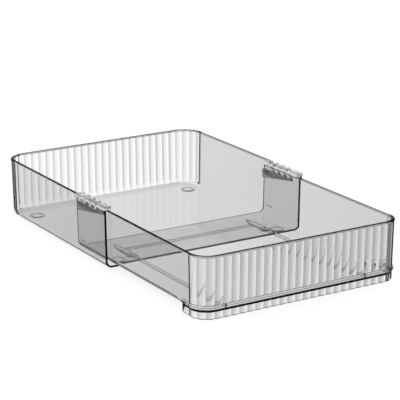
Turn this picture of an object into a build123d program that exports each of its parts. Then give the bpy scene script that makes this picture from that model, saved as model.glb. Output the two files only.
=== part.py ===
"""Expandable drawer organiser in clear smoke plastic: two open-ended trays, one sliding inside the other.

The rear tray stands on four round feet. The front tray slides in it on two rails under its floor, and
its reeded front comes down to the table as a skirt. A toothed rack on each side of the rear tray's rim
hooks over the front tray's rim, above a ratchet plate on the front tray's wall.

Millimetres, +Z up, the table at z = 0. The model is laid out from the rear tray's open edge, with the
back wall towards +Y, and is then moved so that the origin is the middle of the whole footprint.
"""

from build123d import *
from math import cos, pi, radians, sin, tan
import os

# Walls and mould
WALL = 2.2
FLOOR = 2.0
DRAFT_ANGLE = 1.04
RUNNING_GAP = 0.3
FLOOR_FILLET = 5.2

# Rear tray
REAR_LENGTH = 222.3
REAR_HALF_WIDTH = 116.7
REAR_RIM_TOP = 64.8
REAR_UNDERSIDE = 1.6

# Front tray
FRONT_LENGTH = 233.7
RIM_DROP = 3.9
SIDE_GAP = 1.6
FLOOR_RISE = 4.7
OVERLAP = 63.3

# Reeded ends
CORNER_RADIUS = 25.5
FRONT_CORNER_RADIUS = 19.6
REED_PITCH = 8.82
REED_RELIEF = 1.0
REED_FOOT = 0.15

# Rims and bottom edges
RIM_BAND = 2.0
RIM_PROUD = 0.5
RIM_OVER_REEDS = 0.3
RIM_CHAMFER = 0.45
BOTTOM_RADIUS = 7.5
BOTTOM_RADIUS_FRONT = 7.0

# Lip and skirt of the front tray
LIP_RISE = 3.6
LIP_THICK = 1.7
LIP_PROUD = 1.2
COLLAR_THICK = 1.9
COLLAR_PROUD = 0.6
SKIRT_RETURN = 14.45

# Rails, hooks, cross rib and keepers
RAIL_X = 79.0
RAIL_WIDTH = 2.2
RAIL_REAR = 37.0
RAIL_FRONT_GAP = 8.0
HOOK_WIDTH = 5.6
HOOK_LENGTH = 21.0
HOOK_NOSE = 12.0
CROSS_RIB_FROM_HOOK = 14.0
KEEPER_LENGTH = 6.5
KEEPER_WIDTH = 2.6
KEEPER_SIDE_GAP = 0.4
KEEPER_TOP_GAP = 0.5

# Guide pips on the front tray's side walls
PIP_LENGTH = 11.5
PIP_HEIGHT = 1.2
PIP_FROM_END = 4.0
PIP_FROM_RIM = 7.6
PIP_FROM_UNDERSIDE = 9.8
PIP_GAP = 0.4

# Toothed racks on the rear tray's rim
RACK_OVER_RIM = 0.5
RACK_PLATE = 1.4
TOOTH_PITCH = 11.0
TOOTH_COUNT = 4
TOOTH_THICK = 1.6
TOOTH_DEPTH = 2.7
TOOTH_SLOPE = 2.9
TOOTH_LAND = 1.2
TOOTH_BACK = 0.8
TOOTH_ROOT = 0.2
TOOTH_WALL_GAP = 0.5
FIRST_TOOTH = 14.0
BLOCK_HEIGHT = 2.2
BLOCK_LENGTH = 5.2
BLOCK_INSET = 0.4
BLOCK_ROUND = 0.4
END_BLOCK_LENGTH = 15.4
POCKET_WIDTH = 3.4
POCKET_DEPTH = 1.4
POCKET_WALL = 0.8
LUG_LENGTH = 2.4
LUG_THICK = 1.1
LUG_DROP = 2.8
LUG_GAP = 0.05
SEAT_GAP = 0.1

# Ratchet plates on the front tray's walls
PLATE_THICK = 1.9
PLATE_LEAD = 0.3
PLATE_REAR_DEPTH = 12.6
PLATE_FRONT_DEPTH = 3.8
PLATE_TOOTH = 2.3
PLATE_CORNER = 2.5

# Feet
FOOT_FROM_SIDE = 22.7
FRONT_FOOT_Y = 12.5
REAR_FOOT_FROM_BACK = 31.3
FOOT_DIAMETER = 16.0
FOOT_SKIRT = 0.6
PAD_DIAMETER = 12.4
PAD_GAP = 0.1
PAD_ROOF = 0.2
PAD_CHAMFER = 0.4

# Worked out from the above
FRONT_RIM_TOP = REAR_RIM_TOP - RIM_DROP
FRONT_HALF_WIDTH = REAR_HALF_WIDTH - WALL - SIDE_GAP
FRONT_UNDERSIDE = REAR_UNDERSIDE + FLOOR_RISE
REAR_FLOOR_TOP = REAR_UNDERSIDE + FLOOR
FRONT_FLOOR_TOP = FRONT_UNDERSIDE + FLOOR
TRAVEL = FRONT_LENGTH - FRONT_CORNER_RADIUS - SKIRT_RETURN - OVERLAP - RUNNING_GAP
RAIL_BOTTOM = REAR_FLOOR_TOP + RUNNING_GAP
RACK_SEAT = FRONT_RIM_TOP + RACK_OVER_RIM
LIP_BOTTOM = FRONT_UNDERSIDE + LIP_RISE
CREST_PROUD = REED_FOOT + REED_RELIEF
END_RIM_PROUD = CREST_PROUD + RIM_OVER_REEDS
BACK_EDGE = REAR_LENGTH + END_RIM_PROUD
FRONT_EDGE = OVERLAP - FRONT_LENGTH - END_RIM_PROUD
CENTRE_Y = (BACK_EDGE + FRONT_EDGE) / 2
FOOT_X = REAR_HALF_WIDTH - FOOT_FROM_SIDE
REAR_FOOT_Y = REAR_LENGTH - REAR_FOOT_FROM_BACK
PAD_DEPTH = REAR_UNDERSIDE - PAD_ROOF
PIP_LEVELS = (FRONT_UNDERSIDE + PIP_FROM_UNDERSIDE, FRONT_RIM_TOP - PIP_FROM_RIM)
RACK_LENGTH = END_BLOCK_LENGTH + TOOTH_COUNT * TOOTH_PITCH
RACK_OUTER_X = REAR_HALF_WIDTH + RIM_PROUD
RACK_INNER_X = FRONT_HALF_WIDTH - WALL - TOOTH_WALL_GAP - TOOTH_THICK
PLATE_TOP = RACK_SEAT - TOOTH_DEPTH - RUNNING_GAP
PLATE_SLOPE = TOOTH_SLOPE * PLATE_TOOTH / TOOTH_DEPTH
PLATE_FRONT = FIRST_TOOTH - TOOTH_SLOPE - PLATE_SLOPE - PLATE_LEAD


def inset(top, z):
    """How far the drafted wall has come in at height z, below the rim at height top."""
    return (top - z) * tan(radians(DRAFT_ANGLE))


def u_face(half, open_y, end_y, radius, z):
    """A tray's plan at height z: straight sides from the open edge, rounded corners at the closed end."""
    start = end_y - radius
    bend = radius * (1 - cos(pi / 4))
    corner = (half - bend, end_y - bend)
    outline = [
        ThreePointArc((half, start), corner, (half - radius, end_y)),
        Line((half - radius, end_y), (radius - half, end_y)),
        ThreePointArc((radius - half, end_y), (-corner[0], corner[1]), (-half, start)),
    ]
    if start > open_y:
        outline += [
            Line((-half, start), (-half, open_y)),
            Line((-half, open_y), (half, open_y)),
            Line((half, open_y), (half, start)),
        ]
    else:
        outline.append(Line((-half, start), (half, start)))
    return Pos(0, 0, z) * make_face(Wire(outline))


def reed_band_face(half, end_y, radius, off, depth, z):
    """The band round the closed end at height z, where the wall has come in by off.

    Outside are reeds, spaced evenly round both corners and the end, and inside a smooth face at depth.
    """
    start = end_y - radius
    straight = half - radius
    half_length = straight + radius * pi / 2
    reeds = round(half_length / REED_PITCH)
    proud = (REED_FOOT, CREST_PROUD)
    right = []
    for i in range(2 * reeds + 1):
        along = half_length * i / (2 * reeds)
        angle = max(0, along - straight) / radius
        reach = radius - off + proud[i % 2]
        right.append((min(along, straight) + reach * sin(angle), start + reach * cos(angle)))
    left = [(-x, y) for x, y in right[1:]]
    points = right[::-1] + left
    edges = []
    for i in range(0, len(points) - 1, 2):
        edges.append(ThreePointArc(points[i], points[i + 1], points[i + 2]))
    inner_radius = radius - off - depth
    inner_half = straight + inner_radius
    inner_end = start + inner_radius
    bend = inner_radius * (1 - cos(pi / 4))
    corner = (inner_half - bend, inner_end - bend)
    edges += [
        Line(points[-1], (-inner_half, start)),
        ThreePointArc((-inner_half, start), (-corner[0], corner[1]), (-straight, inner_end)),
        Line((-straight, inner_end), (straight, inner_end)),
        ThreePointArc((straight, inner_end), corner, (inner_half, start)),
        Line((inner_half, start), points[0]),
    ]
    return Pos(0, 0, z) * make_face(Wire(edges))


def smooth_body(half, open_y, end_y, radius, top, low, high):
    """A drafted block with the tray's plan, measured at the rim height top, from z low to z high."""
    faces = []
    for z in (low, high):
        off = inset(top, z)
        faces.append(u_face(half - off, open_y, end_y - off, radius - off, z))
    return loft(faces, ruled=True)


def reed_band(half, end_y, radius, top, low, high, depth):
    """The reeded band round a tray's closed end, from z low to z high."""
    faces = []
    for z in (low, high):
        off = inset(top, z)
        faces.append(reed_band_face(half, end_y, radius, off, depth, z))
    return loft(faces, ruled=True)


def bottom_edges(body, z, open_y):
    """The edges of the plan at height z, without the one along the open edge."""
    edges = body.edges().filter_by_position(Axis.Z, z - 0.01, z + 0.01)
    return [e for e in edges if abs(e.center().Y - open_y) > 0.01]


def rim_band(half, open_y, end_y, radius, top):
    """The flat band round the rim, standing a little further out over the reeds, with its top edge broken."""
    sides = u_face(half + RIM_PROUD, open_y, end_y, radius, top - RIM_BAND)
    sides = extrude(sides, RIM_BAND)
    sides = chamfer(bottom_edges(sides, top, open_y), RIM_CHAMFER)
    start = end_y - radius
    end_radius = radius + END_RIM_PROUD
    end = u_face(half + END_RIM_PROUD, start, end_y + END_RIM_PROUD, end_radius, top - RIM_BAND)
    end = extrude(end, RIM_BAND)
    end = chamfer(bottom_edges(end, top, start), RIM_CHAMFER)
    return sides + end


def cavity(half, open_y, end_y, radius, top, floor_top):
    """The inside of a tray, past its open edge and its rim, with the radius along the foot of the walls."""
    past = 5.0
    body = smooth_body(
        half - WALL, open_y - past, end_y - WALL, radius - WALL, top, floor_top, top + past
    )
    return fillet(bottom_edges(body, floor_top, open_y - past), FLOOR_FILLET)


def make_rear_tray():
    """The outer tray, on four foot rings, with its rim cut down at each side for a rack."""
    shell = smooth_body(
        REAR_HALF_WIDTH, 0, REAR_LENGTH, CORNER_RADIUS, REAR_RIM_TOP, REAR_UNDERSIDE, REAR_RIM_TOP
    )
    shell = fillet(bottom_edges(shell, REAR_UNDERSIDE, 0), BOTTOM_RADIUS)
    band = reed_band(
        REAR_HALF_WIDTH,
        REAR_LENGTH,
        CORNER_RADIUS,
        REAR_RIM_TOP,
        REAR_UNDERSIDE + BOTTOM_RADIUS,
        REAR_RIM_TOP - RIM_BAND / 2,
        WALL / 2,
    )
    rim = rim_band(REAR_HALF_WIDTH, 0, REAR_LENGTH, CORNER_RADIUS, REAR_RIM_TOP)
    tray = shell + band + rim
    tray -= cavity(REAR_HALF_WIDTH, 0, REAR_LENGTH, CORNER_RADIUS, REAR_RIM_TOP, REAR_FLOOR_TOP)
    for side in (-1, 1):
        seat_width = 2 * (WALL + END_RIM_PROUD)
        seat_length = RACK_LENGTH + SEAT_GAP
        seat = Box(seat_width, seat_length, REAR_RIM_TOP, align=(Align.CENTER, Align.MIN, Align.MIN))
        tray -= Pos(side * REAR_HALF_WIDTH, 0, RACK_SEAT) * seat
        tray += make_keepers(side)
        for y in (FRONT_FOOT_Y, REAR_FOOT_Y):
            tray += Pos(side * FOOT_X, y, 0) * make_foot_ring()
    return tray


def make_foot_ring():
    """A round boss under the rear tray's floor, with the recess that holds a foot pad."""
    height = REAR_UNDERSIDE - FOOT_SKIRT + FLOOR / 2
    ring = Pos(0, 0, FOOT_SKIRT) * Cylinder(
        FOOT_DIAMETER / 2, height, align=(Align.CENTER, Align.CENTER, Align.MIN)
    )
    recess = Cylinder(PAD_DIAMETER / 2 + PAD_GAP, PAD_DEPTH, align=(Align.CENTER, Align.CENTER, Align.MIN))
    return ring - recess


def make_keepers(side):
    """Two low blocks on the rear tray's floor, with a rail between them and its hook behind them."""
    height = FRONT_UNDERSIDE - KEEPER_TOP_GAP - REAR_FLOOR_TOP
    hook_face = RAIL_REAR - HOOK_LENGTH
    block = Box(KEEPER_WIDTH, KEEPER_LENGTH, height, align=(Align.MIN, Align.MAX, Align.MIN))
    inner = RAIL_WIDTH / 2 + KEEPER_SIDE_GAP
    base = Pos(side * RAIL_X, hook_face - RUNNING_GAP, REAR_FLOOR_TOP)
    outer_block = base * Pos(inner, 0, 0) * block
    inner_block = base * Pos(-inner - KEEPER_WIDTH, 0, 0) * block
    return outer_block + inner_block


def make_front_tray():
    """The inner tray, built with its closed end towards +Y and then turned round into its place."""
    half = FRONT_HALF_WIDTH
    end = FRONT_LENGTH
    radius = FRONT_CORNER_RADIUS
    start = end - radius
    stop = start - SKIRT_RETURN
    shell = smooth_body(half, 0, end, radius, FRONT_RIM_TOP, FRONT_UNDERSIDE, FRONT_RIM_TOP)
    side_edges = [e for e in bottom_edges(shell, FRONT_UNDERSIDE, 0) if e.center().Y < start]
    shell = fillet(side_edges, BOTTOM_RADIUS_FRONT)
    band = reed_band(half, end, radius, FRONT_RIM_TOP, 0, FRONT_RIM_TOP - RIM_BAND / 2, WALL)
    tray = shell + band
    low = inset(FRONT_RIM_TOP, 0)
    skirt_top = LIP_BOTTOM + LIP_THICK / 2
    for side in (-1, 1):
        skirt_end = Box(WALL, SKIRT_RETURN, skirt_top, align=(Align.MAX, Align.MIN, Align.MIN))
        if side < 0:
            skirt_end = mirror(skirt_end, about=Plane.YZ)
        tray += Pos(side * (half - low), stop, 0) * skirt_end
    tray += lip_ring(half, end, LIP_PROUD, LIP_BOTTOM, LIP_THICK)
    tray += lip_ring(half, end, COLLAR_PROUD, LIP_BOTTOM + LIP_THICK, COLLAR_THICK)
    tray += rim_band(half, 0, end, radius, FRONT_RIM_TOP)
    tray -= cavity(half, 0, end, radius, FRONT_RIM_TOP, FRONT_FLOOR_TOP)
    tray += make_runners(end - WALL - low - RAIL_FRONT_GAP)
    for side in (-1, 1):
        for level in PIP_LEVELS:
            tray += make_pip(side, half, level)
    return Pos(0, OVERLAP, 0) * Rot(0, 0, 180) * tray


def lip_ring(half, end, proud, bottom, thick):
    """A flange round the reeded front, proud of the reeds, which runs on a little way along the sides."""
    off = inset(FRONT_RIM_TOP, bottom)
    reach = CREST_PROUD + proud - off
    inside = off + WALL / 2
    start = end - FRONT_CORNER_RADIUS
    outer = u_face(half + reach, start, end + reach, FRONT_CORNER_RADIUS + reach, bottom)
    inner = u_face(half - inside, start, end - inside, FRONT_CORNER_RADIUS - inside, bottom)
    ring = extrude(outer - inner, thick)
    run = Box(WALL, SKIRT_RETURN, thick, align=(Align.CENTER, Align.MIN, Align.MIN))
    for side in (-1, 1):
        run_x = half - off + proud - WALL / 2
        ring += Pos(side * run_x, start - SKIRT_RETURN, bottom) * run
    return ring


def make_runners(front_y):
    """The two rails under the floor with their arrow-headed hooks, and the rib that joins them."""
    height = FRONT_UNDERSIDE + FLOOR / 2 - RAIL_BOTTOM
    rear = OVERLAP - RAIL_REAR
    hook_front = rear + HOOK_LENGTH
    w, h = RAIL_WIDTH / 2, HOOK_WIDTH / 2
    plan = [
        (-w, front_y),
        (-w, hook_front),
        (-h, hook_front),
        (-h, rear),
        (0, rear - HOOK_NOSE),
        (h, rear),
        (h, hook_front),
        (w, hook_front),
        (w, front_y),
    ]
    rail = extrude(make_face(Polyline(*plan, close=True)), height)
    rib = Box(2 * RAIL_X, RAIL_WIDTH, height, align=(Align.CENTER, Align.CENTER, Align.MIN))
    runners = Pos(0, hook_front - CROSS_RIB_FROM_HOOK, 0) * rib
    for side in (-1, 1):
        runners += Pos(side * RAIL_X, 0, 0) * rail
    return Pos(0, 0, RAIL_BOTTOM) * runners


def make_pip(side, half, level):
    """A short guide rib outside the front tray's wall, which takes up the play in the rear tray."""
    face = half - inset(FRONT_RIM_TOP, level)
    proud = SIDE_GAP - PIP_GAP
    pip = Box(proud + WALL / 2, PIP_LENGTH, PIP_HEIGHT, align=(Align.CENTER, Align.MIN, Align.CENTER))
    pip = fillet(pip.edges().filter_by(Axis.Z), PIP_HEIGHT / 3)
    centre = face + proud - (proud + WALL / 2) / 2
    return Pos(side * centre, PIP_FROM_END, level) * pip


def rack_tooth(top_y):
    """Side view of a tooth that hangs from the rack, its slope falling towards -Y, as (y, z) points."""
    tip = RACK_SEAT - TOOTH_DEPTH
    root = RACK_SEAT + TOOTH_ROOT
    slope_foot = top_y - TOOTH_SLOPE
    land_end = slope_foot - TOOTH_LAND
    return [(top_y, root), (slope_foot, tip), (land_end, tip), (land_end - TOOTH_BACK, root)]


def plate_tooth(top_y):
    """Side view of a tooth that stands on the ratchet plate, its slope in line with the rack tooth's."""
    root = PLATE_TOP - PLATE_TOOTH
    land_end = top_y + TOOTH_LAND
    foot = top_y - PLATE_SLOPE
    return [(foot, root), (top_y, PLATE_TOP), (land_end, PLATE_TOP), (land_end + TOOTH_BACK, root)]


def side_plate(points, x_low, thick):
    """A flat piece cut from its side view, given as (y, z) points, and thick in X from x_low."""
    return Pos(x_low, 0, 0) * extrude(Plane.YZ * make_face(Polyline(*points, close=True)), thick)


def rack_block(length):
    """A block on the rack's top, with a pocket in it near the rack's outer side."""
    width = RACK_OUTER_X - RACK_INNER_X - 2 * BLOCK_INSET
    block = Box(width, length, BLOCK_HEIGHT, align=(Align.MAX, Align.MIN, Align.MIN))
    block = fillet(block.edges().group_by(Axis.Z)[-1], BLOCK_ROUND)
    pocket_length = length - 2 * POCKET_WALL
    pocket = Box(POCKET_WIDTH, pocket_length, POCKET_DEPTH, align=(Align.MAX, Align.MIN, Align.MAX))
    return block - Pos(-POCKET_WALL, POCKET_WALL, BLOCK_HEIGHT) * pocket


def make_rack():
    """The right-hand rack: a strip on the rim's seat, with blocks above, lugs outside and teeth inside."""
    top = RACK_SEAT + RACK_PLATE
    gap = TOOTH_PITCH - BLOCK_LENGTH
    width = RACK_OUTER_X - RACK_INNER_X
    strip = Box(width, RACK_LENGTH, RACK_PLATE, align=(Align.MAX, Align.MIN, Align.MIN))
    rack = Pos(RACK_OUTER_X, 0, RACK_SEAT) * strip
    rack += Pos(RACK_OUTER_X - BLOCK_INSET, 0, top) * rack_block(END_BLOCK_LENGTH)
    block = rack_block(BLOCK_LENGTH)
    lug = Box(LUG_THICK, LUG_LENGTH, LUG_DROP + RACK_PLATE, align=(Align.MIN, Align.CENTER, Align.MAX))
    for i in range(TOOTH_COUNT):
        gap_start = END_BLOCK_LENGTH + i * TOOTH_PITCH
        rack += Pos(RACK_OUTER_X - BLOCK_INSET, gap_start + gap, top) * block
        rack += Pos(REAR_HALF_WIDTH + LUG_GAP, gap_start + gap / 2, top) * lug
        rack += side_plate(rack_tooth(FIRST_TOOTH + i * TOOTH_PITCH), RACK_INNER_X, TOOTH_THICK)
    return rack


def make_ratchet_plate(front_tray):
    """The right-hand ratchet plate: a tapered plate on the wall's inner face, toothed along its top."""
    base = PLATE_TOP - PLATE_TOOTH
    front_corner = (PLATE_FRONT, PLATE_TOP - PLATE_FRONT_DEPTH)
    rear_corner = (OVERLAP, PLATE_TOP - PLATE_REAR_DEPTH)
    points = [front_corner, rear_corner, (OVERLAP, base), (PLATE_FRONT, base)]
    x_low = FRONT_HALF_WIDTH - WALL - PLATE_THICK
    into_wall = PLATE_THICK + WALL / 2
    plate = side_plate(points, x_low, into_wall)
    corner = plate.edges().filter_by(Axis.X).group_by(Axis.Z)[0]
    plate = fillet(corner, PLATE_CORNER)
    for i in range(TOOTH_COUNT):
        tooth = plate_tooth(FIRST_TOOTH + i * TOOTH_PITCH - TOOTH_SLOPE)
        plate += side_plate(tooth, x_low, into_wall)
    return plate - front_tray


def make_foot_pad(side, y):
    """A soft round pad in its ring, standing on the table."""
    pad = Cylinder(PAD_DIAMETER / 2, PAD_DEPTH, align=(Align.CENTER, Align.CENTER, Align.MIN))
    pad = chamfer(pad.edges().group_by(Axis.Z)[0], PAD_CHAMFER)
    return Pos(side * FOOT_X, y, 0) * pad


def write(name, shape):
    """Moves a finished piece to the footprint's middle and writes its STEP file."""
    export_step(Pos(0, -CENTRE_Y, 0) * shape, f"parts/{name}.step")


os.makedirs("parts", exist_ok=True)
front_tray = make_front_tray()
rack = make_rack()
plate = make_ratchet_plate(front_tray)
write("rear_tray", make_rear_tray())
write("front_tray", front_tray)
write("right_rim_rack", rack)
write("left_rim_rack", mirror(rack, about=Plane.YZ))
write("right_ratchet_plate", plate)
write("left_ratchet_plate", mirror(plate, about=Plane.YZ))
write("front_left_foot_pad", make_foot_pad(-1, FRONT_FOOT_Y))
write("front_right_foot_pad", make_foot_pad(1, FRONT_FOOT_Y))
write("rear_left_foot_pad", make_foot_pad(-1, REAR_FOOT_Y))
write("rear_right_foot_pad", make_foot_pad(1, REAR_FOOT_Y))
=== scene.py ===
"""Looks of the expandable drawer organiser: two clear smoke-plastic trays, one sliding in the other.

Lengths are in millimetres until a mesh is made, and metres in it. Each tray is one closed skin, worked out as
a grid of stations round its plan by points round its wall's section. Ribs, feet and keepers are joined on.
"""

from collections import namedtuple
from math import cos, pi, radians, sin, sqrt, tan

import bmesh
import bpy
import numpy as np
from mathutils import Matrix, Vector


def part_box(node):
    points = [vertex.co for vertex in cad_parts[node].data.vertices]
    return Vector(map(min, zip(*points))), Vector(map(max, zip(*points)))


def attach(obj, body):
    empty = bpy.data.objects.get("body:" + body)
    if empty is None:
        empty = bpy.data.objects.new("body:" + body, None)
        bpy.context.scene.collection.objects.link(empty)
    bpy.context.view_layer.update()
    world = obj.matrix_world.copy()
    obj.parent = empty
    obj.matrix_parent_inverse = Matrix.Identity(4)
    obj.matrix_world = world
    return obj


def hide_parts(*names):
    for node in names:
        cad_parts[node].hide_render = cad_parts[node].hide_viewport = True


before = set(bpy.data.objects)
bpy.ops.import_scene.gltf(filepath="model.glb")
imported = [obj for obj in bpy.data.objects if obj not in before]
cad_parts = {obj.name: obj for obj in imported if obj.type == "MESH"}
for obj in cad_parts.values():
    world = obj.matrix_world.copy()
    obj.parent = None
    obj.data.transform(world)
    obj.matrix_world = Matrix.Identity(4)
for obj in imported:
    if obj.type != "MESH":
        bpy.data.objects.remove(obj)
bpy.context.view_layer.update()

MM = 0.001

# Walls and mould
WALL = 2.2
FLOOR = 2.0
DRAFT = tan(radians(1.04))
FLOOR_FILLET = 5.2
END_FILLET = 0.8
FILLET_TAPER = 12.0
EDGE_ROUND = 0.4
OPEN_ROUND = 1.0
REAR_UNDERSIDE = 1.6
FRONT_OVER_REAR = 4.7

# Reeded ends
REAR_CORNER = 22.5
FRONT_CORNER = 18.0
REED_PITCH = 8.82
REED_RELIEF = 0.9
REED_FOOT = 0.1
REED_VALLEY = 0.06
GROOVE_DEPTH = 1.5
GROOVE_WIDTH = 2.2

# Rims
RIM_BAND = 2.0
RIM_PROUD = 0.5
RIM_OVER_REEDS = 0.3
RIM_ROUND = 1.0
CREST = 1.15
END_RIM_PROUD = CREST + RIM_OVER_REEDS
RACK_OVER_FRONT = 0.5
RACK_END_GAP = 0.1

# Bottom edges, lip and skirt
REAR_BOTTOM_RADIUS = 7.5
FRONT_BOTTOM_RADIUS = 7.0
LIP_RISE = 3.6
LIP_THICK = 1.7
LIP_PROUD = 1.2
COLLAR_THICK = 1.9
COLLAR_PROUD = 0.6
SKIRT_RETURN = 14.45
SKIRT_LEDGE = 1.0

# How finely the skins are drawn, and where their rows of points lie
TINY = 1e-9
REED_STEPS = 16
LOW_STEPS = 21
ROUND_STEPS = 5
TURNED_STEPS = 96
WALL_SHARES = (0.0, 0.35, 0.7, 1.0)
BAND_SHARES = (0.25, 0.5)
FLOOR_RING = 12.0
WALL_FOOT = 9.0
FILLET_CLEAR = 1.0
BAND_EDGE = 0.15
BAND_STEP_OUT = 0.02
BAND_STEP_UP = 0.01
MERGE_WITHIN = 0.001
EMPTY_WITHIN = 0.0001
SMOOTH_BELOW = 32

# Rails, keepers, guide pips and feet. The hooks are measured in from the rear tray's open edge.
RAIL_X = 79.0
RAIL_WIDTH = 2.2
RAIL_FRONT_GAP = 8.0
RUNNING_GAP = 0.3
HOOK_WIDTH = 5.6
HOOK_FRONT_IN = 16.0
HOOK_BACK_IN = 37.0
HOOK_TIP_IN = 49.0
RIB_FROM_HOOK = 14.0
KEEPER_LENGTH = 6.5
KEEPER_WIDTH = 2.6
KEEPER_SIDE_GAP = 0.4
KEEPER_TOP_GAP = 0.5
PIP_LENGTH = 11.5
PIP_HEIGHT = 1.2
PIP_FROM_END = 4.0
PIP_PROUD = 1.2
PIP_FROM_UNDERSIDE = 9.8
PIP_FROM_RIM = 7.6
FOOT_SKIRT = 0.6
FOOT_RADIUS = 8.0
FOOT_BEVEL = 0.3
PAD_GAP = 0.1
PAD_TOP_GAP = 0.005

# Plastic and rubber
IOR = 1.57
SMOKE = "bfbebc"
TRAY_DENSITY = 80.0
LOCK_DENSITY = 45.0
TRAY_SHINE = 0.28
LOCK_SHINE = 1.3
# Clear white skin: on the trays' reeds it is a painted highlight against the grey skin elsewhere; the lock's
# skin is plain clear white
CLEAR_SKIN_AND_REED_HIGHLIGHT = "ffffff"
REAR_SKIN = "f3f3f3"
FRONT_SKIN = "f5f5f5"
# Painted shade on the rim and the open edge, and the soft edges of the painted reed highlight and of these
# painted shades
RIM_PAINTED_SHADE = "e4e4e2"
OPEN_EDGE_PAINTED_SHADE = "707070"
REED_HIGHLIGHT_FADE = 0.3
RIM_SHADE_FADE = 0.1
OPEN_EDGE_SHADE_FADE = 0.15
WAVE_SIZE = 14
WAVE_STRENGTH = 0.1
WAVE_DEPTH = 0.1
PAD_IOR = 1.2
PAD_FACE = "fcfcfa"
# Painted shade: the pad's rim is painted dark where its normal turns away from upright
PAD_RIM_PAINTED_SHADE = "606060"
PAD_SHADE_TURN = (0.8, 0.5)
HAZE_SIZE = 2.5
HAZE_ROUGHNESS = (0.05, 0.15)

# Studio, in metres and degrees, with the lens and its sensor in millimetres. Light meets many clear faces in a
# row, so a path may be long.
LONG_PATH = 32
SHORT_PATH = 16
TABLE_HALF = 6.0
TABLE_LEVEL = -0.0002
TABLE_PAINT = "8c8c8c"
TABLE_GLOW = 0.85
WHITE = "ffffff"
SKY_LIGHT = 0.75
SKY_SEEN = 1.0
SURROUND = 0.85
SURROUND_SWING = 0.33
SURROUND_LOBES = 3
SURROUND_PEAK = 8.0
DARK_ABOVE = (0.31, 0.42)
DARK = 0.02
KEY_PLACE = (-1.2, 0.4, 1.6)
KEY_SIZE = (1.2, 0.8)
KEY_POWER = 6
LENS = 156.4
SENSOR = 36.0
CAMERA_PLACE = (-0.88135, -1.4446, 0.5575)
CAMERA_DOWN = 16.78
CAMERA_TURN = -31.62

# What a station of the plan is: plain wall, rim cut down for the rack, or wall on the skirt
PLAIN, RACK_SEATED, SKIRTED = 0, 1, 2

Plan = namedtuple("Plan", "x v nx nv height band rounding mark middle")
TrayLook = namedtuple("TrayLook", "skin rim_low open_y way reeds_from reeds_low")


def corners(node):
    """A CAD node's lowest and highest corner in millimetres."""
    low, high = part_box(node)
    return np.array(low) / MM, np.array(high) / MM


# The CAD model's own measures
REAR_LOW, REAR_HIGH = corners("rear_tray")
FRONT_LOW, FRONT_HIGH = corners("front_tray")
RACK_LOW, RACK_HIGH = corners("right_rim_rack")
REAR_TOP = REAR_HIGH[2]
REAR_HALF = REAR_HIGH[0] - END_RIM_PROUD
REAR_OPEN = REAR_LOW[1]
REAR_LENGTH = REAR_HIGH[1] - END_RIM_PROUD - REAR_OPEN
FRONT_TOP = FRONT_HIGH[2]
FRONT_HALF = FRONT_HIGH[0] - END_RIM_PROUD
FRONT_OPEN = FRONT_HIGH[1]
FRONT_LENGTH = FRONT_OPEN - FRONT_LOW[1] - END_RIM_PROUD
FRONT_UNDERSIDE = REAR_UNDERSIDE + FRONT_OVER_REAR
RACK_SEAT = FRONT_TOP + RACK_OVER_FRONT
RACK_LENGTH = RACK_HIGH[1] - RACK_LOW[1]
HOOK_FRONT = REAR_OPEN + HOOK_FRONT_IN
HOOK_BACK = REAR_OPEN + HOOK_BACK_IN
HOOK_TIP = REAR_OPEN + HOOK_TIP_IN


def set_in(top, z):
    """How far the drafted wall has come in at height z."""
    return (top - z) * DRAFT


def reed_height(share):
    """A reed's stand-out across its width, share running from 0 to 1.

    A parabola, which is the arc of the mould's cutter at so low a relief: foot + relief (1 - t^2), with t from
    -1 to 1. Near the valley t is held by a smooth step of width REED_VALLEY, so that two reeds meet in a small
    radius.
    """
    t = np.abs(2 * share - 1)
    ease = np.maximum(0, (t - 1 + REED_VALLEY) / REED_VALLEY)
    t = t - REED_VALLEY * ease ** 2 / 2
    return REED_FOOT + REED_RELIEF * (1 - t ** 2)


def end_stops(mark):
    """Stops that round off the open edge."""
    angle = np.linspace(pi / 2, 0, ROUND_STEPS)
    return [(OPEN_ROUND * (1 - sin(a)), OPEN_ROUND * (1 - cos(a)), mark, 0) for a in angle]


def groove(start, mark):
    """Stops of the fine groove where the smooth wall ends and the reeds begin."""
    middle = start - GROOVE_WIDTH / 2
    return [(start - GROOVE_WIDTH, 0, mark, 0), (middle, 0, mark, -GROOVE_DEPTH), (start, 0, mark, 0)]


def tray_plan(half, length, corner, side_stops):
    """Stations round a tray from its open edge, right side first, as one array per quantity.

    Each station has its place on the rim line (x, v), its outward normal (nx, nv), the reed's height, the rim
    band's stand-out, the rounding of the open edge, a mark, and the v at which its floor meets the middle line.
    v runs from the open edge to the closed end. side_stops lists the stations of a side: v, rounding, mark and
    height.
    """
    start = length - corner
    straight = half - corner
    half_length = straight + corner * pi / 2
    reeds = 2 * round(half_length / REED_PITCH)
    share = np.linspace(0, 1, REED_STEPS + 1)
    along = half_length * (1 - 2 * (np.arange(reeds)[:, None] + share[:-1]) / reeds).ravel()
    along = np.append(along, -half_length)
    height = np.append(np.tile(reed_height(share[:-1]), reeds), reed_height(1.0))
    angle = np.maximum(0, np.abs(along) - straight) / corner * np.sign(along)
    nx, nv = np.sin(angle), np.cos(angle)
    n = len(along)
    end_mark = side_stops[-1][2]
    end = np.column_stack([
        np.clip(along, -straight, straight) + corner * nx,
        start + corner * nv,
        nx,
        nv,
        height,
        np.full(n, END_RIM_PROUD),
        np.zeros(n),
        np.full(n, end_mark),
        np.full(n, start),
    ])
    sides = [(half, v, 1, 0, height, RIM_PROUD, rounding, mark, v) for v, rounding, mark, height in side_stops]
    sides = np.array(sides, float)
    mirrored = sides[::-1] * np.array([-1, 1, -1, 1, 1, 1, 1, 1, 1])
    return Plan(*np.vstack([sides, end, mirrored]).T)


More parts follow.
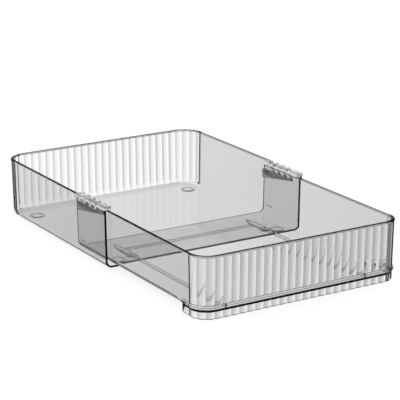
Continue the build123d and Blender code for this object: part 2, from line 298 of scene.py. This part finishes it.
def arc_points(centre_d, centre_z, radius):
    """Points of a quarter arc in the section, from straight down to straight out.

    A point is centre + radius (sin a, -cos a).
    """
    angle = np.linspace(0, pi / 2, LOW_STEPS)
    return [(centre_d + radius * sin(a), centre_z - radius * cos(a)) for a in angle]


def rim_points(d, rim, radius, way):
    """Points of the arc that rounds a rim's edge, from a side that stands at d towards way, 1 or -1."""
    angle = np.linspace(0, pi / 2, ROUND_STEPS)
    return [(d + way * radius * (1 - cos(a)), rim - radius * (1 - sin(a))) for a in angle]


def wall_points(top, stand_out, levels):
    """Points of a drafted wall's face at the given heights."""
    return [(stand_out - set_in(top, z), z) for z in levels]


def wall_levels(low, high):
    """The heights of a wall's points."""
    return [low * (1 - share) + high * share for share in WALL_SHARES]


def section(top, underside, plan, lower, seat, small_from):
    """The wall's section at every station: arrays of stand-out d and height z, outer points then inner points.

    lower gives the outer points below the wall. Where seat is set, the rim is cut down to that height at the
    stations marked for the rack. The fillet at the floor narrows over the FILLET_TAPER before small_from. The
    floor is drawn to FLOOR_RING inside the wall.
    """
    n = len(plan.mark)
    cut = (plan.mark == RACK_SEATED) if seat else np.zeros(n, bool)
    rim = np.where(cut, seat or top, top)
    band = np.where(cut, plan.height, plan.band)
    band_low = rim - RIM_BAND
    under_band = plan.height - set_in(top, band_low) + BAND_STEP_OUT
    outer = [(np.full(n, -FLOOR_RING), np.full(n, underside))]
    outer += lower(plan)
    outer += wall_points(top, plan.height, wall_levels(underside + WALL_FOOT, band_low))
    outer += [(np.maximum(band - BAND_EDGE, under_band), band_low + BAND_STEP_UP), (band, band_low + BAND_EDGE)]
    outer += rim_points(band, rim, RIM_ROUND, -1)

    floor_top = underside + FLOOR
    fillet = np.interp(plan.v, (small_from - FILLET_TAPER, small_from), (FLOOR_FILLET, END_FILLET))
    centre_z = floor_top + fillet
    inner = [(np.full(n, -FLOOR_RING), np.full(n, floor_top))]
    inner += arc_points(-WALL - set_in(top, centre_z) - fillet, centre_z, fillet)
    inner += wall_points(top, -WALL, wall_levels(floor_top + FLOOR_FILLET + FILLET_CLEAR, band_low))
    inner += wall_points(top, -WALL, [band_low + RIM_BAND * share for share in BAND_SHARES])
    inner += rim_points(np.full(n, -WALL), rim, OPEN_ROUND, 1)
    d, z = zip(*(outer + inner[::-1]))
    return np.array(d).T, np.array(z).T


def rear_lower(plan):
    """The rear tray's rounded bottom edge, whose radius grows with the reed."""
    centre_d = -set_in(REAR_TOP, REAR_UNDERSIDE + REAR_BOTTOM_RADIUS) - REAR_BOTTOM_RADIUS
    radius = REAR_BOTTOM_RADIUS + plan.height
    return arc_points(centre_d, REAR_UNDERSIDE + radius, radius)


def front_lower(plan):
    """The front tray's lower edge: rounded along the sides, and a skirt with a lip round the closed end."""
    top, low, height = FRONT_TOP, FRONT_UNDERSIDE, plan.height
    centre_z = low + FRONT_BOTTOM_RADIUS
    arc = arc_points(-set_in(top, centre_z) - FRONT_BOTTOM_RADIUS, centre_z, FRONT_BOTTOM_RADIUS)
    lip_low = low + LIP_RISE
    lip_high = lip_low + LIP_THICK
    collar_high = lip_high + COLLAR_THICK
    crest = np.where(height > 0, CREST, 0.0) - set_in(top, lip_low)
    lip, collar = crest + LIP_PROUD, crest + COLLAR_PROUD
    inside = -WALL - set_in(top, 0)
    outside = height - set_in(top, 0)
    r = EDGE_ROUND
    b = r * (1 - sqrt(0.5))
    skirt = [
        (-WALL - set_in(top, low) - SKIRT_LEDGE, low),
        (-WALL - set_in(top, low), low),
        (-WALL - set_in(top, low - SKIRT_LEDGE), low - SKIRT_LEDGE),
        (inside, r),
        (inside + b, b),
        (inside + r, 0),
        (outside - r, 0),
        (outside - b, b),
        (outside, r),
        (height - set_in(top, lip_low), lip_low),
        (lip - r, lip_low),
        (lip - b, lip_low + b),
        (lip, lip_low + r),
        (lip, lip_high - r),
        (lip - b, lip_high - b),
        (lip - r, lip_high),
        (collar, lip_high),
        (collar, collar_high - r),
        (collar - b, collar_high - b),
        (collar - r, collar_high),
        (height - set_in(top, collar_high), collar_high),
    ]
    skirted = plan.mark == SKIRTED
    return [(np.where(skirted, s[0], a[0]), np.where(skirted, s[1], a[1])) for s, a in zip(skirt, arc)]


def round_end(d, z, rounding):
    """Draws the section in along its own normal by each station's rounding."""
    dd = np.gradient(d, axis=1)
    dz = np.gradient(z, axis=1)
    size = np.maximum(np.hypot(dd, dz), TINY)
    move = rounding[:, None]
    return d - move * dz / size, z + move * dd / size


def closed_mesh(name, vertices, faces):
    """A mesh of points in millimetres, with doubles merged, empty faces dropped and faces turned outwards."""
    mesh = bpy.data.meshes.new(name)
    mesh.from_pydata((vertices * MM).tolist(), [], faces)
    work = bmesh.new()
    work.from_mesh(mesh)
    bmesh.ops.remove_doubles(work, verts=work.verts, dist=MERGE_WITHIN * MM)
    bmesh.ops.dissolve_degenerate(work, edges=work.edges, dist=EMPTY_WITHIN * MM)
    bmesh.ops.recalc_face_normals(work, faces=work.faces)
    work.to_mesh(mesh)
    work.free()
    return mesh


def tray_skin(name, plan, d, z, place):
    """Carries the section round the plan, closes the floor on the middle line and the open ends with caps.

    A point stands off the rim line by d along the outward normal: x + d nx and v + d nv. place turns that, and
    the height z, into the object's own x, y and z.
    """
    x = plan.x[:, None] + d * plan.nx[:, None]
    v = plan.v[:, None] + d * plan.nv[:, None]
    middle_x = np.zeros((len(x), 1))
    middle_v = plan.middle[:, None]
    x = np.hstack([middle_x, x, middle_x])
    v = np.hstack([middle_v, v, middle_v])
    z = np.hstack([z[:, :1], z, z[:, -1:]])
    stations, points = x.shape
    vertices = np.stack(place(x, v, z), axis=-1).reshape(-1, 3)
    index = np.arange(stations * points).reshape(stations, points)
    sides = np.stack([index[:-1, :-1], index[:-1, 1:], index[1:, 1:], index[1:, :-1]], axis=-1).reshape(-1, 4)
    k = np.arange(points // 2 - 1)
    caps = [
        np.stack([row[k], row[k + 1], row[points - 2 - k], row[points - 1 - k]], axis=-1)
        for row in (index[0], index[-1])
    ]
    return closed_mesh(name, vertices, np.vstack([sides] + caps).tolist())


def prism(name, outline, low, high):
    """A plan outline carried straight up from low to high and closed at both ends."""
    outline = np.array(outline, float)
    n = len(outline)
    levels = [np.column_stack([outline, np.full(n, level)]) for level in (low, high)]
    ring = np.arange(n)
    after = (ring + 1) % n
    sides = np.stack([ring, after, after + n, ring + n], axis=-1).tolist()
    return closed_mesh(name, np.vstack(levels), sides + [ring[::-1].tolist(), (ring + n).tolist()])


def box(name, low, high):
    """A box between two corners."""
    (x0, y0, z0), (x1, y1, z1) = low, high
    return prism(name, [(x0, y0), (x1, y0), (x1, y1), (x0, y1)], z0, z1)


def turned(name, outline, centre):
    """A closed outline of (radius, height) points turned round the upright line through centre.

    A point is centre + radius (cos a, sin a), at its height.
    """
    outline = np.array(outline, float)
    angle = np.linspace(0, 2 * pi, TURNED_STEPS, endpoint=False)[:, None]
    x = centre[0] + np.cos(angle) * outline[:, 0]
    y = centre[1] + np.sin(angle) * outline[:, 0]
    z = np.broadcast_to(outline[:, 1], x.shape)
    index = np.arange(x.size).reshape(x.shape)
    after = np.roll(index, -1, axis=0)
    faces = np.stack([index, np.roll(index, -1, axis=1), np.roll(after, -1, axis=1), after], axis=-1)
    return closed_mesh(name, np.stack([x, y, z], axis=-1).reshape(-1, 3), faces.reshape(-1, 4).tolist())


def add_object(name, data):
    """Puts a mesh, light or camera in the scene as an object at the origin."""
    obj = bpy.data.objects.new(name, data)
    bpy.context.scene.collection.objects.link(obj)
    return obj


def fuse(base, extras):
    """Joins closed meshes to a base mesh into one skin, so that light meets no wall inside the plastic."""
    base_obj = add_object(base.name, base)
    helpers = [add_object(extra.name, extra) for extra in extras]
    for helper in helpers:
        joined = base_obj.modifiers.new("join", "BOOLEAN")
        joined.operation = "UNION"
        joined.solver = "EXACT"
        joined.object = helper
    graph = bpy.context.evaluated_depsgraph_get()
    mesh = bpy.data.meshes.new_from_object(base_obj.evaluated_get(graph))
    mesh.name = base.name
    base_obj.modifiers.clear()
    base_obj.data = mesh
    for helper in helpers:
        bpy.data.objects.remove(helper)
    return base_obj


def smooth(obj):
    """Smooth shading, with edges sharper than SMOOTH_BELOW degrees kept."""
    obj.data.shade_smooth()
    obj.data.set_sharp_from_angle(angle=radians(SMOOTH_BELOW))
    flat_first = obj.modifiers.new("flat_faces_first", "WEIGHTED_NORMAL")
    flat_first.keep_sharp = True


def foot_ring(pad):
    """The ring under the rear tray that holds a foot pad."""
    low, high = corners(pad)
    inner = (high[0] - low[0]) / 2 + PAD_GAP
    ceiling = high[2] + PAD_TOP_GAP
    embed = REAR_UNDERSIDE + FLOOR / 2
    outline = [
        (0, ceiling),
        (inner, ceiling),
        (inner, FOOT_SKIRT + FOOT_BEVEL),
        (inner + FOOT_BEVEL, FOOT_SKIRT),
        (FOOT_RADIUS - FOOT_BEVEL, FOOT_SKIRT),
        (FOOT_RADIUS, FOOT_SKIRT + FOOT_BEVEL),
        (FOOT_RADIUS, embed),
        (0, embed),
    ]
    return turned(pad.replace("pad", "ring"), outline, (low + high) / 2)


def keeper(side, edge):
    """One of the two blocks beside a rail that stop its hook."""
    near = side * RAIL_X + edge * (RAIL_WIDTH / 2 + KEEPER_SIDE_GAP)
    far = near + edge * KEEPER_WIDTH
    back = HOOK_FRONT - RUNNING_GAP
    low = (min(near, far), back - KEEPER_LENGTH, REAR_UNDERSIDE + FLOOR / 2)
    return box("keeper", low, (max(near, far), back, FRONT_UNDERSIDE - KEEPER_TOP_GAP))


def make_rear_tray():
    """The rear tray: skin, foot rings and keepers in one."""
    start = REAR_LENGTH - REAR_CORNER
    seat_end = RACK_LENGTH + RACK_END_GAP
    stops = end_stops(RACK_SEATED) + [(seat_end, 0, RACK_SEATED, 0), (seat_end, 0, PLAIN, 0)]
    stops += [(start - FILLET_TAPER - GROOVE_WIDTH, 0, PLAIN, 0)] + groove(start, PLAIN)
    plan = tray_plan(REAR_HALF, REAR_LENGTH, REAR_CORNER, stops)
    d, z = section(REAR_TOP, REAR_UNDERSIDE, plan, rear_lower, RACK_SEAT, start - GROOVE_WIDTH)
    d, z = round_end(d, z, plan.rounding)
    skin = tray_skin("rear_tray_skin", plan, d, z, lambda x, v, z: (x, v + REAR_OPEN, z))
    extras = [foot_ring(f"{row}_{side}_foot_pad") for side in ("left", "right") for row in ("front", "rear")]
    extras += [keeper(side, edge) for side in (-1, 1) for edge in (-1, 1)]
    return fuse(skin, extras)


def rail(side, low, high):
    """A rail under the front tray, which ends in an arrow-headed hook."""
    front = FRONT_OPEN - FRONT_LENGTH + WALL + set_in(FRONT_TOP, 0) + RAIL_FRONT_GAP
    c, w, h = side * RAIL_X, RAIL_WIDTH / 2, HOOK_WIDTH / 2
    outline = [
        (c - w, front),
        (c + w, front),
        (c + w, HOOK_FRONT),
        (c + h, HOOK_FRONT),
        (c + h, HOOK_BACK),
        (c, HOOK_TIP),
        (c - h, HOOK_BACK),
        (c - h, HOOK_FRONT),
        (c - w, HOOK_FRONT),
    ]
    return prism("rail", outline, low, high)


def pip(side, z):
    """A guide pip on the outside of the front tray's wall, near its open end."""
    face = FRONT_HALF - set_in(FRONT_TOP, z)
    x0, x1 = sorted((side * (face - WALL / 2), side * (face + PIP_PROUD)))
    y = FRONT_OPEN - PIP_FROM_END
    return box("pip", (x0, y - PIP_LENGTH, z - PIP_HEIGHT / 2), (x1, y, z + PIP_HEIGHT / 2))


def make_front_tray():
    """The front tray: skin, rails with their hooks, guide pips and cross rib in one."""
    start = FRONT_LENGTH - FRONT_CORNER
    skirt = start - SKIRT_RETURN
    stops = end_stops(PLAIN) + [(skirt - FILLET_TAPER, 0, PLAIN, 0), (skirt, 0, PLAIN, 0)]
    stops += [(skirt, 0, SKIRTED, 0)] + groove(start, SKIRTED)
    plan = tray_plan(FRONT_HALF, FRONT_LENGTH, FRONT_CORNER, stops)
    d, z = section(FRONT_TOP, FRONT_UNDERSIDE, plan, front_lower, None, skirt)
    d, z = round_end(d, z, plan.rounding)
    skin = tray_skin("front_tray_skin", plan, d, z, lambda x, v, z: (-x, FRONT_OPEN - v, z))
    rail_low = REAR_UNDERSIDE + FLOOR + RUNNING_GAP
    rail_high = FRONT_UNDERSIDE + FLOOR / 2
    extras = []
    for side in (-1, 1):
        extras.append(rail(side, rail_low, rail_high))
        extras += [pip(side, z) for z in (FRONT_UNDERSIDE + PIP_FROM_UNDERSIDE, FRONT_TOP - PIP_FROM_RIM)]
    rib_y = HOOK_FRONT + RIB_FROM_HOOK
    rib_low = (-RAIL_X, rib_y - RAIL_WIDTH / 2, rail_low)
    extras.append(box("cross_rib", rib_low, (RAIL_X, rib_y + RAIL_WIDTH / 2, rail_high)))
    return fuse(skin, extras)


def linear(code):
    """An sRGB hex colour as linear red, green, blue and alpha."""
    values = [int(code[i:i + 2], 16) / 255 for i in (0, 2, 4)]
    return [c / 12.92 if c <= 0.04045 else ((c + 0.055) / 1.055) ** 2.4 for c in values] + [1.0]


def add_node(tree, kind, settings=None):
    """Adds a shader node. Each setting is an input, by name or number, or else an attribute of the node.

    An input gets a number, a colour or another node's output.
    """
    node = tree.nodes.new(kind)
    for key, value in (settings or {}).items():
        if not isinstance(key, int) and key not in node.inputs:
            setattr(node, key, value)
        elif isinstance(value, bpy.types.NodeSocket):
            tree.links.new(value, node.inputs[key])
        else:
            node.inputs[key].default_value = value
    return node


def maths(tree, operation, *values):
    """The result of a math node, each value being a number or another node's output."""
    return add_node(tree, "ShaderNodeMath", {"operation": operation, **dict(enumerate(values))}).outputs[0]


def past(tree, value, at, fade):
    """0 below the level at, 1 above it, with a soft step; level and fade are in millimetres."""
    settings = {"From Min": (at - fade) * MM, "From Max": (at + fade) * MM, "Value": value}
    return add_node(tree, "ShaderNodeMapRange", settings).outputs["Result"]


def mix_colour(tree, share, first, second):
    """Blends a colour towards a second by a share. Each is a hex code or another node's output."""
    first, second = [linear(c) if isinstance(c, str) else c for c in (first, second)]
    return add_node(tree, "ShaderNodeMix", {"data_type": "RGBA", 0: share, 6: first, 7: second}).outputs[2]


def mix_shader(tree, share, first, second):
    """Blends a shader node towards a second by a share."""
    return add_node(tree, "ShaderNodeMixShader", {0: share, 1: first.outputs[0], 2: second.outputs[0]})


def new_material(name):
    """An empty node material and its output node."""
    material = bpy.data.materials.new(name)
    material.use_nodes = True
    material.node_tree.nodes.clear()
    return material, material.node_tree, add_node(material.node_tree, "ShaderNodeOutputMaterial")


def tray_tint_and_painted_light(tree, place, look):
    """The colour over a tray's skin: a little grey, a painted highlight on the reeds, and painted shade on the
    rim and the open edge.

    The rim and the open edge are painted darker as shade, for the light that has run along inside the wall. The
    reeds are painted clear as a highlight: they lie beyond reeds_from, in the direction way, and above
    reeds_low.
    """
    parts = add_node(tree, "ShaderNodeSeparateXYZ", {0: place}).outputs
    # Painted highlight: the reeds are painted clear white, the rest of the skin grey
    along = maths(tree, "MULTIPLY", parts["Y"], look.way)
    in_end = past(tree, along, look.way * look.reeds_from, REED_HIGHLIGHT_FADE)
    above = past(tree, parts["Z"], look.reeds_low, REED_HIGHLIGHT_FADE)
    off_reed_highlight = maths(tree, "SUBTRACT", 1.0, maths(tree, "MULTIPLY", in_end, above))
    colour = mix_colour(tree, off_reed_highlight, CLEAR_SKIN_AND_REED_HIGHLIGHT, look.skin)
    # Painted shade on the rim band
    colour = mix_colour(tree, past(tree, parts["Z"], look.rim_low, RIM_SHADE_FADE), colour, RIM_PAINTED_SHADE)
    # Painted shade along the open edge
    from_edge = maths(tree, "ABSOLUTE", maths(tree, "SUBTRACT", parts["Y"], look.open_y * MM))
    edge_shade_share = maths(tree, "SUBTRACT", 1.0, past(tree, from_edge, OPEN_ROUND, OPEN_EDGE_SHADE_FADE))
    return mix_colour(tree, edge_shade_share, colour, OPEN_EDGE_PAINTED_SHADE)


def smoke_styrene(name, density, shine, look=None):
    """Injection-moulded styrene copolymer tinted smoke grey: glassy, and darker the further light runs in it.

    A slow waviness, as of a moulded skin, keeps the reflections from being flat. shine scales how much the
    skin mirrors, and look tints a tray's skin and paints its highlight on the reeds and its shade on the rim
    and the open edge.
    """
    material, tree, output = new_material(name)
    place = add_node(tree, "ShaderNodeTexCoord").outputs["Object"]
    noise = {"Scale": 1 / (WAVE_SIZE * MM), "Detail": 1.0, "Vector": place}
    waves = add_node(tree, "ShaderNodeTexNoise", noise).outputs["Fac"]
    bump = {"Strength": WAVE_STRENGTH, "Distance": WAVE_DEPTH * MM, "Height": waves}
    normal = add_node(tree, "ShaderNodeBump", bump).outputs["Normal"]
    colour = tray_tint_and_painted_light(tree, place, look) if look else linear(CLEAR_SKIN_AND_REED_HIGHLIGHT)
    skin = {"Color": colour, "Roughness": 0.0, "Normal": normal}
    through = add_node(tree, "ShaderNodeBsdfRefraction", {**skin, "IOR": IOR})
    gloss = add_node(tree, "ShaderNodeBsdfAnisotropic", skin)
    mirror = add_node(tree, "ShaderNodeFresnel", {"IOR": IOR, "Normal": normal}).outputs[0]
    body = mix_shader(tree, maths(tree, "MULTIPLY", mirror, shine), through, gloss)
    depth = add_node(tree, "ShaderNodeVolumeAbsorption", {"Color": linear(SMOKE), "Density": density})
    tree.links.new(body.outputs[0], output.inputs["Surface"])
    tree.links.new(depth.outputs["Volume"], output.inputs["Volume"])
    return material


def clear_silicone():
    """Clear silicone rubber pads: a soft milky face inside a rim painted darker, as shade where the eye looks
    into the depth.

    The painted shade on the rim comes in as the upright part of the surface's normal falls through
    PAD_SHADE_TURN.
    """
    material, tree, output = new_material("clear_silicone")
    place = add_node(tree, "ShaderNodeTexCoord").outputs
    noise = {"Scale": 1 / (HAZE_SIZE * MM), "Detail": 2.0, "Vector": place["Object"]}
    haze = add_node(tree, "ShaderNodeTexNoise", noise).outputs["Fac"]
    least, most = HAZE_ROUGHNESS
    rough = add_node(tree, "ShaderNodeMapRange", {"To Min": least, "To Max": most, "Value": haze})
    # Painted shade on the pad's sides, where its normal turns away from upright
    upright = add_node(tree, "ShaderNodeSeparateXYZ", {0: place["Normal"]}).outputs["Z"]
    first, last = PAD_SHADE_TURN
    turn = {"From Min": first, "From Max": last, "Value": maths(tree, "ABSOLUTE", upright)}
    side_shade_share = add_node(tree, "ShaderNodeMapRange", turn).outputs["Result"]
    colour = mix_colour(tree, side_shade_share, PAD_FACE, PAD_RIM_PAINTED_SHADE)
    rubber = {"Color": colour, "Roughness": rough.outputs["Result"], "IOR": PAD_IOR}
    through = add_node(tree, "ShaderNodeBsdfRefraction", rubber)
    tree.links.new(through.outputs[0], output.inputs["Surface"])
    return material


def make_table():
    """A wide white table with the object's soft shadow. Light that comes through the plastic passes it."""
    mesh = bpy.data.meshes.new("studio_floor")
    half, z = TABLE_HALF, TABLE_LEVEL
    square = [(-half, -half, z), (half, -half, z), (half, half, z), (-half, half, z)]
    mesh.from_pydata(square, [], [(0, 1, 2, 3)])
    table = add_object("studio_floor", mesh)
    material, tree, output = new_material("white_floor")
    path = add_node(tree, "ShaderNodeLightPath").outputs
    paint = add_node(tree, "ShaderNodeBsdfDiffuse", {"Color": linear(TABLE_PAINT)})
    glow = {"Color": linear(WHITE), "Strength": maths(tree, "MULTIPLY", path["Is Camera Ray"], TABLE_GLOW)}
    lift = add_node(tree, "ShaderNodeEmission", glow)
    solid = add_node(tree, "ShaderNodeAddShader", {0: paint.outputs[0], 1: lift.outputs[0]})
    passing = maths(tree, "MAXIMUM", path["Is Glossy Ray"], path["Is Transmission Ray"])
    both = mix_shader(tree, passing, solid, add_node(tree, "ShaderNodeBsdfTransparent"))
    tree.links.new(both.outputs[0], output.inputs["Surface"])
    table.data.materials.append(material)


def make_world():
    """White where it is seen straight, plain where it lights, and a band of light seen through the plastic.

    The band is brighter and dimmer by turns round the object, as with softboxes and grey boards, and it is dark
    above, so that light bent upwards by an edge of the plastic draws the edge as a dark line.
    """
    world = bpy.data.worlds.new("studio")
    bpy.context.scene.world = world
    world.use_nodes = True
    tree = world.node_tree
    tree.nodes.clear()
    output = add_node(tree, "ShaderNodeOutputWorld")
    path = add_node(tree, "ShaderNodeLightPath").outputs
    look = add_node(tree, "ShaderNodeTexCoord").outputs["Generated"]
    parts = add_node(tree, "ShaderNodeSeparateXYZ", {0: look}).outputs
    turn = maths(tree, "ARCTAN2", parts["X"], parts["Y"])
    phase = -radians(SURROUND_PEAK) * SURROUND_LOBES
    wave = maths(tree, "COSINE", maths(tree, "MULTIPLY_ADD", turn, SURROUND_LOBES, phase))
    band = maths(tree, "MULTIPLY_ADD", wave, SURROUND_SWING, SURROUND)
    first, last = DARK_ABOVE
    rise = {"interpolation_type": "SMOOTHSTEP", "From Min": first, "From Max": last, "Value": parts["Z"]}
    above = add_node(tree, "ShaderNodeMapRange", rise).outputs["Result"]
    tent = add_node(tree, "ShaderNodeMix", {"data_type": "FLOAT", 0: above, 2: band, 3: DARK}).outputs[0]
    straight = {"To Min": SKY_LIGHT, "To Max": SKY_SEEN, "Value": path["Is Camera Ray"]}
    plain = add_node(tree, "ShaderNodeMapRange", straight).outputs["Result"]
    seen = maths(tree, "MAXIMUM", path["Is Glossy Ray"], path["Is Transmission Ray"])
    level = add_node(tree, "ShaderNodeMix", {"data_type": "FLOAT", 0: seen, 2: plain, 3: tent}).outputs[0]
    sky = add_node(tree, "ShaderNodeBackground", {"Color": linear(WHITE), "Strength": level})
    tree.links.new(sky.outputs["Background"], output.inputs["Surface"])


def make_key_light():
    """A softbox that faces the object from the left and above."""
    light = bpy.data.lights.new("key", "AREA")
    light.shape = "RECTANGLE"
    light.size, light.size_y = KEY_SIZE
    light.energy = KEY_POWER
    softbox = add_object("key", light)
    softbox.location = KEY_PLACE
    softbox.rotation_mode = "QUATERNION"
    softbox.rotation_quaternion = (-Vector(KEY_PLACE)).to_track_quat("-Z", "Y")


def make_camera():
    """The photograph's view, with a long lens."""
    data = bpy.data.cameras.new("view")
    data.lens = LENS
    data.sensor_width = SENSOR
    camera = add_object("view", data)
    camera.location = CAMERA_PLACE
    camera.rotation_euler = (radians(90 - CAMERA_DOWN), 0, radians(CAMERA_TURN))
    bpy.context.scene.camera = camera


REAR_LOOK = TrayLook(
    skin=REAR_SKIN,
    rim_low=REAR_TOP - RIM_BAND,
    open_y=REAR_OPEN,
    way=1,
    reeds_from=REAR_OPEN + REAR_LENGTH - REAR_CORNER,
    reeds_low=REAR_UNDERSIDE + FLOOR + END_FILLET,
)
FRONT_LOOK = TrayLook(
    skin=FRONT_SKIN,
    rim_low=FRONT_TOP - RIM_BAND,
    open_y=FRONT_OPEN,
    way=-1,
    reeds_from=FRONT_OPEN - FRONT_LENGTH + FRONT_CORNER,
    reeds_low=FRONT_UNDERSIDE + FLOOR + END_FILLET,
)
rear_smoke = smoke_styrene("smoke_styrene_rear", TRAY_DENSITY, TRAY_SHINE, REAR_LOOK)
front_smoke = smoke_styrene("smoke_styrene_front", TRAY_DENSITY, TRAY_SHINE, FRONT_LOOK)
lock_smoke = smoke_styrene("lock_styrene", LOCK_DENSITY, LOCK_SHINE)
silicone = clear_silicone()

rear = make_rear_tray()
front = make_front_tray()
trays = ((rear, "rear_tray", "rear_section", rear_smoke), (front, "front_tray", "front_section", front_smoke))
for piece, node, body, finish in trays:
    smooth(piece)
    piece.data.materials.clear()
    piece.data.materials.append(finish)
    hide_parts(node)
    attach(piece, body)

for name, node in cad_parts.items():
    if name in ("rear_tray", "front_tray"):
        continue
    node.data.materials.clear()
    node.data.materials.append(silicone if "pad" in name else lock_smoke)

make_table()
make_world()
make_key_light()
make_camera()
scene = bpy.context.scene
scene.view_settings.view_transform = "Standard"
scene.cycles.max_bounces = LONG_PATH
scene.cycles.transmission_bounces = LONG_PATH
scene.cycles.glossy_bounces = SHORT_PATH
scene.cycles.transparent_max_bounces = SHORT_PATH
